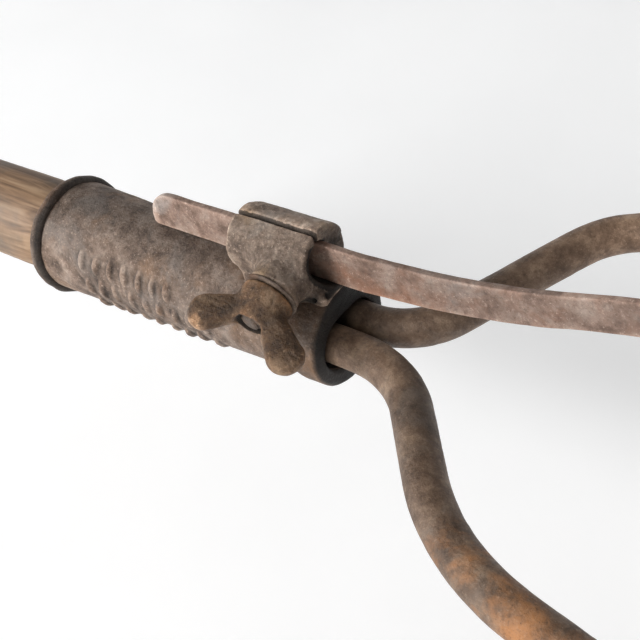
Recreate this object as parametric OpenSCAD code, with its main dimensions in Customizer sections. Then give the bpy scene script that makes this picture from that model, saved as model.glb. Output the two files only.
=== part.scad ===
// Hand garden cultivator: cast socket with two fixed round-rod tines and a flat
// middle tine that slides in a clip and is locked by a wing-headed thumb screw.
// +X runs from the handle towards the tines, +Z is up, -Y is the thumb screw's side.
// The origin lies on the wooden grip's axis, 158 mm behind the socket's tine end.

/* [Socket] */
// Distance from the origin on the grip to the tine end of the socket
face_x = 158; // [150:1:175]
// Length of the cast socket
socket_l = 103; // [98:1:105]
// Socket radius just behind the collar
neck_r = 13.9; // [13.6:0.1:14.2]
// Socket radius at its open end
rear_r = 16.5; // [16.2:0.1:17]
// Radius of the collar at the tine end
collar_r = 14.6; // [14.4:0.1:15.2]
// Half width of the oval tine opening
mouth_w = 10.7; // [10.6:0.1:11]
// Half height of the oval tine opening
mouth_h = 7.4; // [7.3:0.1:7.6]
// Number of raised ribs in each of the three rows on the socket
rib_n = 9; // [5:1:11]

/* [Handle] */
// Radius of the straight wooden grip
grip_r = 14; // [13.5:0.1:15]
// Distance from the origin to the front of the straight grip
grip_front = 42; // [30:1:44]
// Radius of the hanging hole
hang_r = 4; // [3:0.5:5]

/* [Outer tines] */
// Radius of the tine rod
rod_r = 5; // [4.6:0.1:5]
// Spacing of each rod from the middle where it leaves the socket
rod_y = 5.2; // [5.1:0.1:5.3]
// Forward distance from the socket to where the tines turn down
bend_x = 110; // [105:1:125]
// Radius of the downward bend
down_r = 55; // [45:1:65]
// Angle of the downward bend
down_a = 80; // [70:1:85]
// Length of the straight end below the bend
end_l = 32; // [30:1:40]
// Upward lean of the left tine
left_lean = 5.1; // [0:0.1:6]

/* [Middle tine and clip] */
// Height of the flat middle tine in the clip
bar_h = 10.8; // [10.4:0.1:11.2]
// Thickness of the flat middle tine
bar_t = 1.8; // [1.5:0.1:2.2]
// Outer radius of the clip
clip_r = 8.4; // [8.2:0.1:9]
// Length of the clip
clip_l = 24.5; // [22:0.5:26]
// Downward angle of the thumb screw
screw_a = 15; // [10:1:20]
// Radius of the thumb screw's shank
screw_r = 3.175; // [3:0.025:3.2]
// Distance of the wing head's seat from the clip's middle
seat_h = 14.6; // [14.2:0.1:15]
// Turn of the wings from the socket's axis
wing_turn = -19.7; // [-40:0.1:0]

/* [Shovels] */
// Thickness of the shovel plates
plate_t = 2.8; // [2.4:0.1:3.2]
// Sweep angle of the shovel's sides
sweep_a = 14; // [8:1:18]

/* [Hidden] */
$fn = 96;
eps = 0.05;
mouth_z = -0.6;
rib_x0 = -82;
rib_pitch = 5.4;
rib_a = 66;
rib_row_a = 28;
clip_y = 0.8;
clip_z = 21.5;
clip_x1 = face_x - 5;
clip_x0 = clip_x1 - clip_l;
screw_x = face_x - 11.8;
bar_y = 0.5;
bar_z = 21.15;
bar_rear = face_x - 62.8;
bar_bend = face_x + 2.73;
bore_front = 36;
bore_r0 = 11.4;
bore_r1 = 12.8;
tang_l = 78;
hang_x = -66;
nail_x = face_x - 84;
// right tine (-Y): lengths, radii and angles of its S-shaped run
r_l0 = 4.9; r_r1 = 31; r_a1 = 49.6; r_l1 = 20.3; r_r2 = 61.75; r_a2 = 38.3;
r_l2 = 22; r_r3 = 60; r_a3 = r_a1 - r_a2;
r_x = r_l0 + r_r1 * sin(r_a1) + r_l1 * cos(r_a1) + r_r2 * (sin(r_a1) - sin(r_a3))
    + r_l2 * cos(r_a3) + r_r3 * sin(r_a3);
right_y = rod_y + r_r1 * (1 - cos(r_a1)) + r_l1 * sin(r_a1)
    + r_r2 * (cos(r_a3) - cos(r_a1)) + r_l2 * sin(r_a3) + r_r3 * (1 - cos(r_a3));
r_run = max(0.01, bend_x - r_x);
right_bend_x = r_x + r_run;
// left tine (+Y)
l_l0 = 3.5; l_r1 = 20.1; l_a1 = 63.9; l_l1 = 36.7; l_r2 = 24;
l_x = l_l0 + l_r1 * sin(l_a1) + l_l1 * cos(l_a1) + l_r2 * sin(l_a1);
left_y = rod_y + l_r1 * (1 - cos(l_a1)) + l_l1 * sin(l_a1) + l_r2 * (1 - cos(l_a1));
l_run = right_bend_x - l_x;
// middle tine: its top and bottom edges sweep up on two arcs, so that it narrows to m_h
m_x = face_x + 58; m_top_r = 234; m_bot_r = 222; m_bot_x = face_x - 3;
m_top_z = bar_z + bar_h / 2 + m_top_r;
m_bot_z = bar_z - bar_h / 2 + m_bot_r;
m_zt = m_top_z - sqrt(pow(m_top_r, 2) - pow(m_x - bar_bend, 2));
m_zb = m_bot_z - sqrt(pow(m_bot_r, 2) - pow(m_x - m_bot_x, 2));
m_a1 = (asin((m_x - bar_bend) / m_top_r) + asin((m_x - m_bot_x) / m_bot_r)) / 2;
m_h = (m_zt - m_zb) * cos(m_a1);
m_l1 = 13; m_r2 = 75; m_a2 = m_a1 + down_a; m_l2 = 50;

function socket_r(x) = neck_r + (rear_r - neck_r) * (-13 - x) / (socket_l - 18);
function tangent(c1, r1, c2, r2) =
    let (d = c2 - c1, n = norm(d), a = atan2(d[1], d[0]), b = acos((r1 - r2) / n))
    [c1 + r1 * [cos(a + b), sin(a + b)], c1 + r1 * [cos(a - b), sin(a - b)],
     c2 + r2 * [cos(a - b), sin(a - b)], c2 + r2 * [cos(a + b), sin(a + b)]];

module at_face() { translate([face_x, 0, 0]) children(); }
module xrev(pts) { rotate([0, 90, 0]) rotate_extrude() polygon(pts); }
module xcyl(r, x0, x1) { translate([x0, 0, 0]) rotate([0, 90, 0]) cylinder(r = r, h = x1 - x0); }

module socket_body(grow) {
    xrev([[0, -socket_l], [rear_r - 0.3 + grow, -socket_l], [rear_r - 0.3 + grow, -socket_l + 4.5],
          [rear_r + grow, -socket_l + 5], [neck_r + grow, -13], [neck_r + 0.2 + grow, -10.5],
          [collar_r - 0.1 + grow, -8], [collar_r + grow, -7], [collar_r + grow, -2],
          [collar_r - 0.4 + grow, -0.8], [collar_r - 1.3 + grow, 0], [0, 0]]);
}

module ribs() {
    for (row = [0 : 2], i = [0 : rib_n - 1]) {
        x = rib_x0 + i * rib_pitch + row * 1.5;
        rotate([rib_a + rib_row_a * row, 0, 0])
            translate([x, (i % 3 == 1) ? -1 : -2, socket_r(x) - 0.6])
                cube([(i % 4 == 2) ? 2.4 : 1.5, (i % 3 == 1) ? 2.4 : 4, 1.3]);
    }
}

module nail_place() {
    translate([nail_x, 0, 0]) rotate([180, 0, 0]) children();
    translate([nail_x, 0, 0]) rotate([-90, 0, 0]) children();
}

module socket() {
    color("dimgray") difference() {
        at_face() difference() {
            union() { socket_body(0); ribs(); }
            xrev([[0, -socket_l - 1], [bore_r1, -socket_l - 1], [bore_r1, -socket_l],
                  [bore_r0, -bore_front], [0, -bore_front]]);
            for (s = [-1, 1]) translate([0, s * (mouth_w - mouth_h), mouth_z])
                xcyl(mouth_h, -bore_front - 1, 1);
            translate([-bore_front - 1, mouth_h - mouth_w, mouth_z - mouth_h])
                cube([bore_front + 2, 2 * (mouth_w - mouth_h), 2 * mouth_h]);
        }
        nail_place() cylinder(r = 1.65, h = 25);
    }
}

module mouth_band() {
    color("gray") translate([face_x - socket_l + 2.2, 0, 0]) rotate([0, 90, 0]) difference() {
        rotate_extrude() translate([rear_r - 0.2, 0]) circle(r = 2.1);
        translate([0, 0, -5]) cylinder(r = rear_r - 0.28, h = 10);
    }
}

module handle() {
    color("peru") difference() {
        xrev(concat([[0, hang_x - grip_r]],
             [for (a = [10 : 10 : 80]) [grip_r * sin(a), hang_x - grip_r * cos(a)]],
             [[grip_r, hang_x], [grip_r, grip_front], [grip_r - 0.2, face_x - socket_l - 9],
              [bore_r1 - 0.1, face_x - socket_l - 1.5], [bore_r1 - 0.1, face_x - socket_l],
              [bore_r0 - 0.1, face_x - bore_front - 0.3], [0, face_x - bore_front - 0.3]]));
        translate([hang_x, 0, 0]) rotate([90, 0, 0]) cylinder(r = hang_r, h = 60, center = true);
        translate([0, -rod_y, 0]) xcyl(rod_r + eps, face_x - tang_l - 1, face_x - 20);
        rotate([left_lean, 0, 0]) translate([0, rod_y, 0])
            xcyl(rod_r + eps, face_x - tang_l - 1, face_x - 20);
        nail_place() cylinder(r = 1.65, h = 25);
    }
}

module socket_nails() {
    color("silver") nail_place() {
        translate([0, 0, 7.5]) cylinder(r = 1.6, h = 9);
        translate([0, 0, 16.25]) cylinder(r = 3.4, h = 0.7);
        translate([0, 0, 16.9]) cylinder(r1 = 3.4, r2 = 2.2, h = 0.6);
    }
}

module tine_wedge() {
    color("gray") at_face() translate([0, 3, 0]) rotate([90, 0, 0]) linear_extrude(6)
        polygon([[-27, mouth_z - mouth_h], [-3, mouth_z - mouth_h], [-3, -4.75], [-27, -6.6]]);
}

// a hair-thin ring of metal where two lengths of a tine meet
module seam() { rotate([0, 90, 0]) translate([0, 0, -0.25]) cylinder(r = rod_r + 0.02, h = 0.5); }
module run(l) {
    rotate([0, 90, 0]) cylinder(r = rod_r, h = l);
    translate([l, 0, 0]) { seam(); children(); }
}
module bend_left(r, a) {
    translate([0, r, 0]) rotate([0, 0, -90]) rotate_extrude(angle = a)
        translate([r, 0]) circle(r = rod_r);
    translate([r * sin(a), r * (1 - cos(a)), 0]) rotate([0, 0, a]) { seam(); children(); }
}
module bend_right(r, a) {
    translate([0, -r, 0]) rotate([180, 0, 90]) rotate_extrude(angle = a)
        translate([r, 0]) circle(r = rod_r);
    translate([r * sin(a), -r * (1 - cos(a)), 0]) rotate([0, 0, -a]) { seam(); children(); }
}
module bend_down(r, a) {
    translate([0, 0, -r]) rotate([0, -90, -90]) rotate_extrude(angle = a)
        translate([r, 0]) circle(r = rod_r);
    translate([r * sin(a), 0, -r * (1 - cos(a))]) rotate([0, a, 0]) { seam(); children(); }
}
module to_end() { translate([down_r * sin(down_a), 0, -down_r * (1 - cos(down_a))])
    rotate([0, down_a, 0]) children(); }
module left_end() { rotate([left_lean, 0, 0]) translate([face_x + right_bend_x, left_y, 0])
    to_end() children(); }
module right_end() { translate([face_x + right_bend_x, -right_y, 0]) to_end() children(); }

module end_cut() {
    translate([0.01, -10, -20]) cube([end_l + 5, 20, 16.2]);
    translate([0.01, -10, 4.2]) cube([end_l + 5, 20, 10]);
    for (x = [9, 23]) translate([x, 0, -10]) cylinder(r = 2.05, h = 20);
}

module left_tine() {
    color("dimgray") difference() {
        rotate([left_lean, 0, 0]) translate([face_x - tang_l, rod_y, 0])
            run(tang_l + l_l0) bend_left(l_r1, l_a1) run(l_l1) bend_right(l_r2, l_a1)
            run(l_run) bend_down(down_r, down_a) rotate([0, 90, 0]) cylinder(r = rod_r, h = end_l);
        left_end() end_cut();
    }
}
module right_tine() {
    color("dimgray") difference() {
        mirror([0, 1, 0]) translate([face_x - tang_l, rod_y, 0])
            run(tang_l + r_l0) bend_left(r_r1, r_a1) run(r_l1) bend_right(r_r2, r_a2)
            run(r_l2) bend_right(r_r3, r_a3) run(r_run) bend_down(down_r, down_a)
            rotate([0, 90, 0]) cylinder(r = rod_r, h = end_l);
        right_end() end_cut();
    }
}

module leaf() {
    translate([0, 0, -plate_t]) linear_extrude(plate_t)
        polygon([[0.5, -4.6], [49, -4.6], [56, 0], [49, 4.6], [0.5, 4.6]]);
    for (s = [0, 1]) mirror([0, s, 0]) translate([0, 4.6, 0]) rotate([sweep_a, 0, 0])
        translate([0, 0, -plate_t]) linear_extrude(plate_t)
            polygon([[0.5, -0.9], [0.5, 0], [8, 4.5], [20, 10], [30, 11.5], [39, 8.5], [49, 0],
                     [49, -0.9]]);
}
module rod_shovel() {
    translate([0, 0, -3.8]) difference() {
        leaf();
        for (x = [9, 23]) translate([x, 0, -10]) cylinder(r = 2.05, h = 20);
    }
}
module rod_rivets() {
    for (x = [9, 23]) translate([x, 0, 0]) {
        translate([0, 0, -4.5 - plate_t]) cylinder(r = 2, h = 9.5 + plate_t);
        translate([0, 0, -5 - plate_t]) cylinder(r1 = 2.4, r2 = 3.6, h = 1.2);
        translate([0, 0, 4.2]) cylinder(r1 = 3.4, r2 = 2.2, h = 1.2);
    }
}
module left_shovel() { color("slategray") left_end() rod_shovel(); }
module right_shovel() { color("slategray") right_end() rod_shovel(); }
module left_rivets() { color("silver") left_end() rod_rivets(); }
module right_rivets() { color("silver") right_end() rod_rivets(); }

module on_screw() { translate([screw_x, clip_y, clip_z]) rotate([90 + screw_a, 0, 0]) children(); }
module clip_body() {
    translate([0, clip_y, clip_z]) {
        xcyl(clip_r, clip_x0, clip_x1);
        // lip of the far side, standing proud over the slit
        difference() {
            xcyl(clip_r + 0.7, clip_x0 + 0.6, clip_x1 + 0.4);
            translate([clip_x0 - 1, -20, -20]) cube([clip_l + 2, 40, 21]);
            translate([clip_x0 - 1, -21.4, -20]) cube([clip_l + 2, 20, 40]);
            rotate([-32, 0, 0]) translate([clip_x0 - 1, 0, -20]) cube([clip_l + 2, 20, 40]);
        }
    }
    // saddle that sits on the socket
    translate([clip_x0 + 1, -8.2, 8]) cube([clip_l - 1, 16.2, 8.2]);
    translate([clip_x1 - 8, -6.6, 11]) cube([10, 13, 4.5]);
    on_screw() {
        translate([0, 0, 3]) cylinder(r1 = 5.2, r2 = 6.9, h = seat_h - 4);
        translate([0, 4.2, 0]) rotate([90, 0, 0]) linear_extrude(8.4)
            polygon([[-15, 4.5], [6.6, 4.5], [6.6, 10.5], [-6, 11.2]]);
    }
}
module clip() {
    color("gray") difference() {
        clip_body();
        at_face() socket_body(eps);
        // hollow beside the middle tine, and the tine's own slot
        difference() {
            translate([0, clip_y, clip_z]) xcyl(clip_r - 2.6, clip_x0 - 5, clip_x1 + 5);
            translate([clip_x0 - 6, bar_y, 0]) cube([clip_l + 12, 30, 60]);
        }
        translate([clip_x0 - 5, bar_y - bar_t / 2 - 0.08, bar_z - bar_h / 2 - 0.08])
            cube([clip_l + 14, bar_t + 0.16, bar_h + 0.16]);
        // slit along the top
        translate([clip_x0 - 5, -1.2, clip_z + 3]) cube([clip_l + 12, 0.8, 10]);
        on_screw() cylinder(r = screw_r + 0.055, h = 30);
    }
}

module washer() {
    color("silver") on_screw() translate([0, 0, seat_h - 1]) difference() {
        cylinder(r = 7.4, h = 0.98);
        translate([0, 0, -1]) cylinder(r = screw_r + 0.2, h = 4);
    }
}

module wing() {
    c1 = [3.4, 5.2];
    c2 = [11.6, 11.4];
    rotate([90, 0, 0]) translate([0, 0, -2.3]) linear_extrude(4.6) {
        translate(c1) circle(r = 3.2);
        translate(c2) circle(r = 5.1);
        polygon(tangent(c1, 3.2, c2, 5.1));
    }
}
module wing_head() {
    color("saddlebrown") on_screw() translate([0, 0, seat_h]) difference() {
        union() {
            rotate_extrude() polygon([[0, 0], [6.7, 0], [6.85, 0.8], [6.8, 2], [6.5, 3.6],
                                      [6, 5.2], [5.4, 6.8], [4.8, 8.2], [4.1, 9.2], [0, 9.2]]);
            for (s = [0, 180]) rotate([0, 0, wing_turn + s]) wing();
        }
        translate([0, 0, -1]) cylinder(r = screw_r + 0.03, h = 30);
    }
}
module clamp_screw() {
    tip = (clip_y - bar_y + bar_t / 2 + screw_r + 0.04) / cos(screw_a);
    color("darkgray") on_screw() {
        translate([0, 0, tip]) cylinder(r = screw_r, h = seat_h + 9.6 - tip);
        translate([0, 0, tip]) sphere(r = screw_r);
    }
}

module bar_end() {
    translate([m_x, bar_y, (m_zt + m_zb) / 2]) rotate([0, -m_a1, 0])
        translate([m_l1 + m_r2 * sin(m_a2), 0, -m_r2 * (1 - cos(m_a2))])
        rotate([0, m_a2, 0]) children();
}
module middle_tine() {
    color("rosybrown") difference() {
        union() {
            difference() {
                translate([bar_rear, bar_y - bar_t / 2, bar_z - bar_h / 2])
                    cube([bar_bend - bar_rear, bar_t, bar_h]);
                // rounded upper corner of the rear end
                difference() {
                    translate([bar_rear - 1, bar_y - 5, bar_z + bar_h / 2 - 8])
                        cube([9, 10, 9]);
                    translate([bar_rear + 8, bar_y + 6, bar_z + bar_h / 2 - 8])
                        rotate([90, 0, 0]) cylinder(r = 8, h = 12);
                }
            }
            intersection() {
                translate([bar_bend - 0.5, bar_y - bar_t / 2, 0])
                    cube([m_x - bar_bend + 0.5, bar_t, 60]);
                difference() {
                    translate([m_bot_x, 20, m_bot_z]) rotate([90, 0, 0])
                        cylinder(r = m_bot_r, h = 40, $fn = 360);
                    translate([bar_bend, 30, m_top_z]) rotate([90, 0, 0])
                        cylinder(r = m_top_r, h = 60, $fn = 360);
                }
            }
            translate([m_x, bar_y, (m_zt + m_zb) / 2]) rotate([0, -m_a1, 0]) {
                translate([-0.5, -bar_t / 2, -m_h / 2]) cube([m_l1 + 0.7, bar_t, m_h]);
                translate([m_l1, 0, -m_r2]) rotate([0, -90, -90])
                    rotate_extrude(angle = m_a2, $fn = 180)
                        translate([m_r2 - m_h / 2, -bar_t / 2]) square([m_h, bar_t]);
            }
            bar_end() translate([-0.2, -bar_t / 2, -m_h / 2]) cube([m_l2 + 0.2, bar_t, m_h]);
        }
        bar_end() for (x = [m_l2 - 27, m_l2 - 13]) translate([x, 0, 0]) rotate([90, 0, 0])
            cylinder(r = 1.85, h = 20, center = true);
    }
}
module middle_shovel() {
    color("slategray") bar_end() translate([m_l2 - 34, 0, 0]) difference() {
        union() {
            translate([0, 0, -m_h / 2]) leaf();
            translate([0, bar_t / 2, -m_h / 2 - 1]) cube([30, 2.4, m_h - 1]);
        }
        for (x = [7, 21]) translate([x, 0, 0]) rotate([90, 0, 0])
            cylinder(r = 1.85, h = 20, center = true);
    }
}
module middle_rivets() {
    color("silver") bar_end() for (x = [m_l2 - 27, m_l2 - 13]) translate([x, 0, 0])
        rotate([-90, 0, 0]) {
            translate([0, 0, -bar_t / 2 - 0.5]) cylinder(r = 1.8, h = bar_t + 3.2);
            translate([0, 0, -bar_t / 2 - 1.2]) cylinder(r1 = 2.2, r2 = 3.2, h = 1.2);
            translate([0, 0, bar_t / 2 + 2.4]) cylinder(r1 = 3.2, r2 = 2.2, h = 1.2);
        }
}

socket();
mouth_band();
handle();
socket_nails();
tine_wedge();
left_tine();
right_tine();
left_shovel();
right_shovel();
left_rivets();
right_rivets();
clip();
middle_tine();
middle_shovel();
middle_rivets();
washer();
wing_head();
clamp_screw();
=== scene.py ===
import math

import bpy
import numpy as np
from mathutils import Matrix, Vector


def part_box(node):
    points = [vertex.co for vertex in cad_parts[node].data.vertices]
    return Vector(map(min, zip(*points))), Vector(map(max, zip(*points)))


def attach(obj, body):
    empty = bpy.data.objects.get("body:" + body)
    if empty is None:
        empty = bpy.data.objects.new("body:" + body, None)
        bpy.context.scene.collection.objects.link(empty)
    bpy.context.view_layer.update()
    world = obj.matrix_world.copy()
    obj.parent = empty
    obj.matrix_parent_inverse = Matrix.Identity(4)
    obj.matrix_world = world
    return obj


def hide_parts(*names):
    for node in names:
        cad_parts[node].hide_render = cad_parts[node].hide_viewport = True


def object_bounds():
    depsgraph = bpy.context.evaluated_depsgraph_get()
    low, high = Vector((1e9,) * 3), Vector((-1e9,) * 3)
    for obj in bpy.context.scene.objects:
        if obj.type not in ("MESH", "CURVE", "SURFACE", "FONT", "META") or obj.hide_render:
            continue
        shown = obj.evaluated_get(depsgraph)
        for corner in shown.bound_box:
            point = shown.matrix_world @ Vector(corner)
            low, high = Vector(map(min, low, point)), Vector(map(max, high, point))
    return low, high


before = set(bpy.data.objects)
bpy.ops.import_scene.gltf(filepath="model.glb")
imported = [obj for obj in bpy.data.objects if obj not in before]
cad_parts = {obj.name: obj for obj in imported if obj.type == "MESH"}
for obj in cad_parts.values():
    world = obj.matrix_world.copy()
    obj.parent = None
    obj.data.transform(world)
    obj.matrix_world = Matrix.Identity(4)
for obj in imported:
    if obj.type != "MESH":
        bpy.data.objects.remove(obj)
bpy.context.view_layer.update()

# Everything is modelled in millimetres in the row frame and turned into metres in piece().
# X runs from the grip to the tines, Z is up, -Y is the thumb screw's side. Angles are in degrees.
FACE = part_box("socket")[1].x * 1000  # X of the socket's tine end
SOCKET_L = 103.0

# Round tines: the rods, their distance from the socket's axis and their reach into it.
ROD_R = 5.0
ROD_Y = 5.2
ROD_IN = 76.0
LEAN = 5.1  # the left tine's turn about X
BEND_X = FACE + 110
DOWN_R = 55.0
DOWN_A = 80.0
END_L = 32.0  # the hammered ends, and what is off them below and above
FLAT_UNDER = 1.2
FLAT_OVER = 0.8
PLATE_T = 2.8

# Clip: its axis and radius.
CLIP_Y = 0.8
CLIP_Z = 21.5
CLIP_R = 8.4

# Thumb screw: it points to -Y and SCREW_A down. The wing head sits SEAT_H along it.
SCREW_X = FACE - 11.8
SCREW_A = 15.0
SEAT_H = 14.6
WING_TURN = -19.7

# Flat tine: its centre line, section and rear end, its rise from BAR_BEND to BAR_END along arcs of
# its upper and lower edges, then a straight, the bend down and the straight end with the shovel.
BAR_Y = 0.5
BAR_Z = 21.15
BAR_T = 1.8
BAR_H = 10.8
BAR_CORNER = 8
BAR_REAR = FACE - 62.8
BAR_BEND = FACE + 2.73
BAR_END = FACE + 58
BAR_TOP_R = 234.0
BAR_LOW_R = 222.0
BAR_LOW_X = FACE - 3
BAR_STRAIGHT = 13
BAR_DOWN_R = 75
BAR_TAIL = 50


# ---------------------------------------------------------------- matrices and noise

def move(x, y, z):
    m = np.eye(4)
    m[:3, 3] = (x, y, z)
    return m


def turn(axis, degrees):
    m = np.eye(4)
    m[:3, :3] = np.array(Matrix.Rotation(math.radians(degrees), 3, axis))
    return m


def place(m, points):
    return points @ m[:3, :3].T + m[:3, 3]


# The random heights that noise() blends between.
LATTICE = np.random.default_rng(7).uniform(-1, 1, (32, 32, 32))


def noise(points, size, seed=0):
    """Smooth noise between about -1 and 1 whose lumps are size mm across."""
    p = points / size + np.array((3.1, 7.7, 1.9)) * (seed + 1)
    base = np.floor(p)
    f = p - base
    f = f * f * (3 - 2 * f)
    i = base.astype(int)
    total = np.zeros(len(points))
    for corner in range(8):
        d = np.array((corner & 1, corner >> 1 & 1, corner >> 2 & 1))
        weight = np.prod(np.where(d, f, 1 - f), axis=1)
        j = (i + d) & 31
        total += weight * LATTICE[j[:, 0], j[:, 1], j[:, 2]]
    return total


def roughness(points, lumps, pits, seed=0):
    """Height of a rusted casting's skin: broad lumps and small pits, both in mm."""
    broad = noise(points, 7.0, seed) + 0.6 * noise(points, 3.1, seed + 1)
    fine = np.minimum(noise(points, 1.3, seed + 2) + 0.35, 0) + 0.3 * noise(points, 0.8, seed + 3)
    return lumps * broad + pits * fine


# ---------------------------------------------------------------- distance fields

def smooth_min(a, b, k):
    h = np.clip(0.5 + 0.5 * (b - a) / k, 0, 1)
    return b * (1 - h) + a * h - k * h * (1 - h)


def smooth_max(a, b, k):
    return -smooth_min(-a, -b, k)


def cut(a, b, k=0.3):
    return smooth_max(a, -b, k)


def block(p, centre, half, rounding):
    q = np.abs(p - np.array(centre)) - (np.array(half) - rounding)
    outside = np.linalg.norm(np.maximum(q, 0), axis=1)
    return outside + np.minimum(q.max(axis=1), 0) - rounding


def capsule(p, a, b, ra, rb):
    a = np.array(a, float)
    ab = np.array(b, float) - a
    t = np.clip((p - a) @ ab / (ab @ ab), 0, 1)
    return np.linalg.norm(p - a - t[:, None] * ab, axis=1) - (ra + (rb - ra) * t)


# ---------------------------------------------------------------- meshes

def piece(name, points, faces, body, nodes, material):
    """A mesh object in metres that rides a CAD body and stands for its nodes."""
    mesh = bpy.data.meshes.new(name)
    mesh.from_pydata((points / 1000).tolist(), [], faces)
    mesh.validate()
    mesh.update()
    mesh.shade_smooth()
    mesh.materials.append(material)
    obj = bpy.data.objects.new(name, mesh)
    bpy.context.scene.collection.objects.link(obj)
    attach(obj, body)
    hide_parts(*nodes)
    return obj


def solid(field, low, high, cell):
    """Points and quads of the surface where field changes sign, in a box cut into cells."""
    low = np.array(low, float)
    count = np.ceil((np.array(high, float) - low) / cell).astype(int) + 1
    axes = [low[a] + cell * np.arange(count[a]) for a in range(3)]
    value = np.empty(tuple(count))
    step = max(1, int(400000 / (count[1] * count[2])))
    for start in range(0, count[0], step):
        grid = np.meshgrid(axes[0][start:start + step], axes[1], axes[2], indexing="ij")
        points = np.stack([g.ravel() for g in grid], axis=1)
        value[start:start + step] = field(points).reshape(grid[0].shape)
    return nets(value, low, cell)


def nets(value, low, cell):
    """One point in each cell that the surface crosses, and a quad for each grid edge it crosses."""
    cells = tuple(np.array(value.shape) - 1)
    total = np.zeros(cells + (3,))
    hits = np.zeros(cells)
    quads = []
    number = np.arange(np.prod(cells)).reshape(cells)
    for axis in range(3):
        lo = [slice(None)] * 3
        hi = [slice(None)] * 3
        lo[axis] = slice(0, -1)
        hi[axis] = slice(1, None)
        a, b = value[tuple(lo)], value[tuple(hi)]
        at = np.argwhere((a < 0) != (b < 0))
        ia, ib = a[tuple(at.T)], b[tuple(at.T)]
        point = at.astype(float)
        point[:, axis] += ia / (ia - ib)
        u, v = (axis + 1) % 3, (axis + 2) % 3
        ok = (at[:, u] > 0) & (at[:, v] > 0) & (at[:, u] < cells[u]) & (at[:, v] < cells[v])
        at, point, ia = at[ok], point[ok], ia[ok]
        ring = []
        for du, dv in ((1, 1), (0, 1), (0, 0), (1, 0)):
            c = at.copy()
            c[:, u] -= du
            c[:, v] -= dv
            np.add.at(total, tuple(c.T), point)
            np.add.at(hits, tuple(c.T), 1)
            ring.append(number[tuple(c.T)])
        quad = np.stack(ring, axis=1)
        quads.append(np.where((ia < 0)[:, None], quad, quad[:, ::-1]))
    quads = np.concatenate(quads)
    used = np.unique(quads)
    index = np.full(number.size, -1)
    index[used] = np.arange(len(used))
    points = total.reshape(-1, 3)[used] / hits.reshape(-1)[used][:, None]
    return low + cell * points, index[quads].tolist()


def tube(rings):
    """Points and faces of a closed tube through rings of equal length, with its ends filled."""
    rings = np.array(rings)
    n, m = rings.shape[:2]
    i = np.arange(n - 1)[:, None] * m
    j = np.arange(m)[None, :]
    k = (j + 1) % m
    faces = np.stack([i + j, i + k, i + m + k, i + m + j], axis=2).reshape(-1, 4).tolist()
    points = rings.reshape(-1, 3)
    first, last = rings[0].mean(0), rings[-1].mean(0)
    points = np.vstack([points, first, last])
    faces += [[n * m, (q + 1) % m, q] for q in range(m)]
    faces += [[n * m + 1, (n - 1) * m + q, (n - 1) * m + (q + 1) % m] for q in range(m)]
    return points, faces


def lathe(profile, m, bumps, seed, size=1.6):
    """Rings about the local Z axis from (radius, height) pairs, roughened by bumps mm."""
    angle = np.linspace(0, 2 * math.pi, m, endpoint=False)
    rings = []
    for r, z in profile:
        ring = np.stack([r * np.cos(angle), r * np.sin(angle), np.full(m, float(z))], axis=1)
        n = noise(ring, size, seed)
        ring[:, :2] *= (1 + bumps * n / max(r, 1))[:, None]
        ring[:, 2] += 0.6 * bumps * noise(ring, size, seed + 5)
        rings.append(ring)
    return rings


def joined(parts):
    """Several (points, faces) meshes as one."""
    points, faces, base = [], [], 0
    for p, f in parts:
        points.append(p)
        faces += [[q + base for q in face] for face in f]
        base += len(p)
    return np.vstack(points), faces


# ---------------------------------------------------------------- materials

def new_material(name):
    m = bpy.data.materials.new(name)
    m.use_nodes = True
    nodes = m.node_tree.nodes
    return m, nodes, m.node_tree.links, nodes["Principled BSDF"]


def field_node(nodes, links, scale, detail, distortion=0.0, shift=0.0, rough=0.6):
    """A noise pattern over the object's own coordinates; scale is lumps per metre."""
    coords = nodes.new("ShaderNodeTexCoord")
    mapping = nodes.new("ShaderNodeMapping")
    mapping.inputs["Location"].default_value = (shift, shift * 0.7, -shift)
    tex = nodes.new("ShaderNodeTexNoise")
    tex.inputs["Scale"].default_value = scale
    tex.inputs["Detail"].default_value = detail
    tex.inputs["Roughness"].default_value = rough
    tex.inputs["Distortion"].default_value = distortion
    links.new(coords.outputs["Object"], mapping.inputs["Vector"])
    links.new(mapping.outputs["Vector"], tex.inputs["Vector"])
    return tex.outputs["Fac"]


def ramp(nodes, links, source, stops):
    """stops: (position, value or colour) pairs."""
    node = nodes.new("ShaderNodeValToRGB")
    elements = node.color_ramp.elements
    while len(elements) < len(stops):
        elements.new(0.5)
    for element, (at, c) in zip(elements, stops):
        element.position = at
        element.color = (c, c, c, 1) if isinstance(c, float) else (*c, 1)
    links.new(source, node.inputs["Fac"])
    return node.outputs["Color"]


def mixed(nodes, links, mask, a, b, blend="MIX", amount=1.0):
    """a where mask is 0, b where it is 1, both colours or sockets."""
    node = nodes.new("ShaderNodeMix")
    node.data_type = "RGBA"
    node.blend_type = blend
    if mask is None:
        node.inputs["Factor"].default_value = amount
    else:
        scaled = nodes.new("ShaderNodeMath")
        scaled.operation = "MULTIPLY"
        scaled.inputs[1].default_value = amount
        links.new(mask, scaled.inputs[0])
        links.new(scaled.outputs[0], node.inputs["Factor"])
    for name, value in (("A", a), ("B", b)):
        socket = [s for s in node.inputs if s.name == name and s.type == "RGBA"][0]
        if isinstance(value, tuple):
            socket.default_value = (*value, 1)
        else:
            links.new(value, socket)
    return [s for s in node.outputs if s.type == "RGBA"][0]


def attribute(nodes, name):
    """The outputs of a layer stored on the mesh."""
    node = nodes.new("ShaderNodeAttribute")
    node.attribute_name = name
    return node.outputs


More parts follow.
